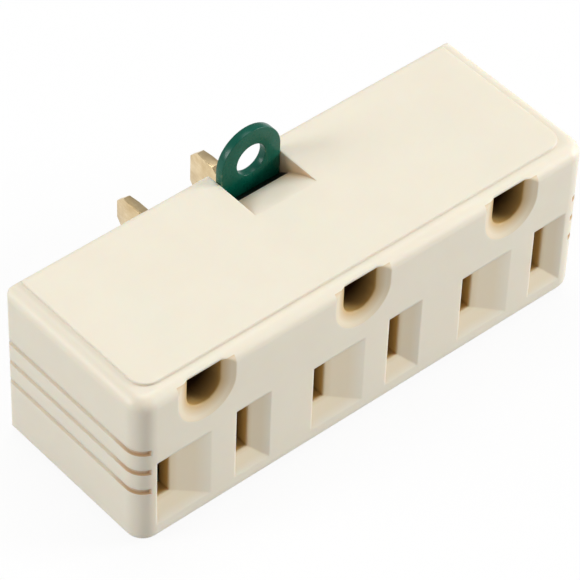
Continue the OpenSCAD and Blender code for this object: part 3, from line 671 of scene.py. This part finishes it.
def addFloor():
    size = {"half": 0.9, "height": cadBox[0][2]}
    mesh = bpy.data.meshes.new("paleFloor")
    half, z = size["half"], size["height"]
    mesh.from_pydata([(-half, -half, z), (half, -half, z), (half, half, z), (-half, half, z)], [], [(0, 1, 2, 3)])
    floor = bpy.data.objects.new("paleFloor", mesh)
    bpy.context.scene.collection.objects.link(floor)
    material, tree, shader = newMaterial("paleFloorPaint")
    shader.inputs["Base Color"].default_value = (0.42, 0.42, 0.42, 1)
    shader.inputs["Roughness"].default_value = 0.9
    shader.inputs["Specular IOR Level"].default_value = 0.1
    glow = addNode(tree, "ShaderNodeEmission")
    glow.inputs["Color"].default_value = (1, 1, 1, 1)
    glow.inputs["Strength"].default_value = 1.13
    rays = addNode(tree, "ShaderNodeLightPath")
    seen = calculate(tree, "MAXIMUM", rays.outputs["Is Camera Ray"], rays.outputs["Is Glossy Ray"])
    blend = addNode(tree, "ShaderNodeMixShader")
    output = next(n for n in tree.nodes if n.type == "OUTPUT_MATERIAL")
    tree.links.new(calculate(tree, "MULTIPLY", seen, 0.8), blend.inputs["Fac"])
    tree.links.new(shader.outputs["BSDF"], blend.inputs[1])
    tree.links.new(glow.outputs["Emission"], blend.inputs[2])
    tree.links.new(blend.outputs["Shader"], output.inputs["Surface"])
    mesh.materials.append(material)


def addWorld():
    world = bpy.data.worlds.new("paleStudio")
    bpy.context.scene.world = world
    world.use_nodes = True
    tree = world.node_tree
    tree.nodes.clear()
    output = addNode(tree, "ShaderNodeOutputWorld")
    ambient = addNode(tree, "ShaderNodeBackground")
    ambient.inputs["Color"].default_value = (1, 1, 1, 1)
    ambient.inputs["Strength"].default_value = 0.42
    backdrop = addNode(tree, "ShaderNodeBackground")
    backdrop.inputs["Color"].default_value = (1, 1, 1, 1)
    backdrop.inputs["Strength"].default_value = 1.0
    rays = addNode(tree, "ShaderNodeLightPath")
    seen = calculate(tree, "MAXIMUM", rays.outputs["Is Camera Ray"], rays.outputs["Is Transmission Ray"])
    blend = addNode(tree, "ShaderNodeMixShader")
    tree.links.new(seen, blend.inputs["Fac"])
    tree.links.new(ambient.outputs["Background"], blend.inputs[1])
    tree.links.new(backdrop.outputs["Background"], blend.inputs[2])
    tree.links.new(blend.outputs["Shader"], output.inputs["Surface"])


def addLamp(name, place, target, size, power, colour=(1, 1, 1)):
    lamp = bpy.data.lights.new(name, "AREA")
    lamp.shape = "DISK"
    lamp.size = size
    lamp.energy = power
    lamp.color = colour
    holder = bpy.data.objects.new(name, lamp)
    bpy.context.scene.collection.objects.link(holder)
    holder.location = place
    holder.rotation_euler = (Vector(target) - Vector(place)).to_track_quat("-Z", "Y").to_euler()


lampSettings = {
    "overheadSoftbox": {"place": (0.1, 0.1, 0.6), "size": 0.35, "power": 1.25},
    "rightSoftbox": {"place": (0.92, -0.6, 0.35), "size": 0.55, "power": 10.4},
    "leftRearSoftbox": {"place": (-0.55, 0.2, 0.25), "size": 0.3, "power": 1.85},
}
for name, lamp in lampSettings.items():
    addLamp(name, lamp["place"], (0, -0.012, 0.004), lamp["size"], lamp["power"])

cameraSettings = {
    "azimuth": -42.31,      # degrees round the object, 0 is straight in front
    "elevation": 45.14,
    "roll": 2.38,
    "distance": 0.45641,
    "shiftRight": -0.00077,
    "shiftUp": 0.00131,
    "target": (-0.001425, -0.0116, 0.00495),
    "focalPixels": 3532.71,
    "framePixels": 580,
    "sensor": 36,
}


def addCamera(use):
    azimuth, elevation, roll = (math.radians(use[k]) for k in ("azimuth", "elevation", "roll"))
    back = Vector((math.sin(azimuth) * math.cos(elevation), -math.cos(azimuth) * math.cos(elevation),
                   math.sin(elevation)))
    right = (-back).cross(Vector((0, 0, 1))).normalized()
    up = right.cross(-back)
    turnedRight = right * math.cos(roll) + up * math.sin(roll)
    turnedUp = up * math.cos(roll) - right * math.sin(roll)
    place = Vector(use["target"]) + back * use["distance"]
    place -= turnedRight * use["shiftRight"] + turnedUp * use["shiftUp"]
    data = bpy.data.cameras.new("photoCamera")
    data.sensor_width = use["sensor"]
    data.lens = use["focalPixels"] * use["sensor"] / use["framePixels"]
    data.clip_start = 0.01
    camera = bpy.data.objects.new("photoCamera", data)
    camera.matrix_world = Matrix((
        (turnedRight[0], turnedUp[0], back[0], place[0]),
        (turnedRight[1], turnedUp[1], back[1], place[1]),
        (turnedRight[2], turnedUp[2], back[2], place[2]),
        (0, 0, 0, 1)))
    bpy.context.scene.collection.objects.link(camera)
    bpy.context.scene.camera = camera


addFloor()
addWorld()
addCamera(cameraSettings)
bpy.context.scene.view_settings.view_transform = "Standard"
print("adapter: stage, light and camera set")
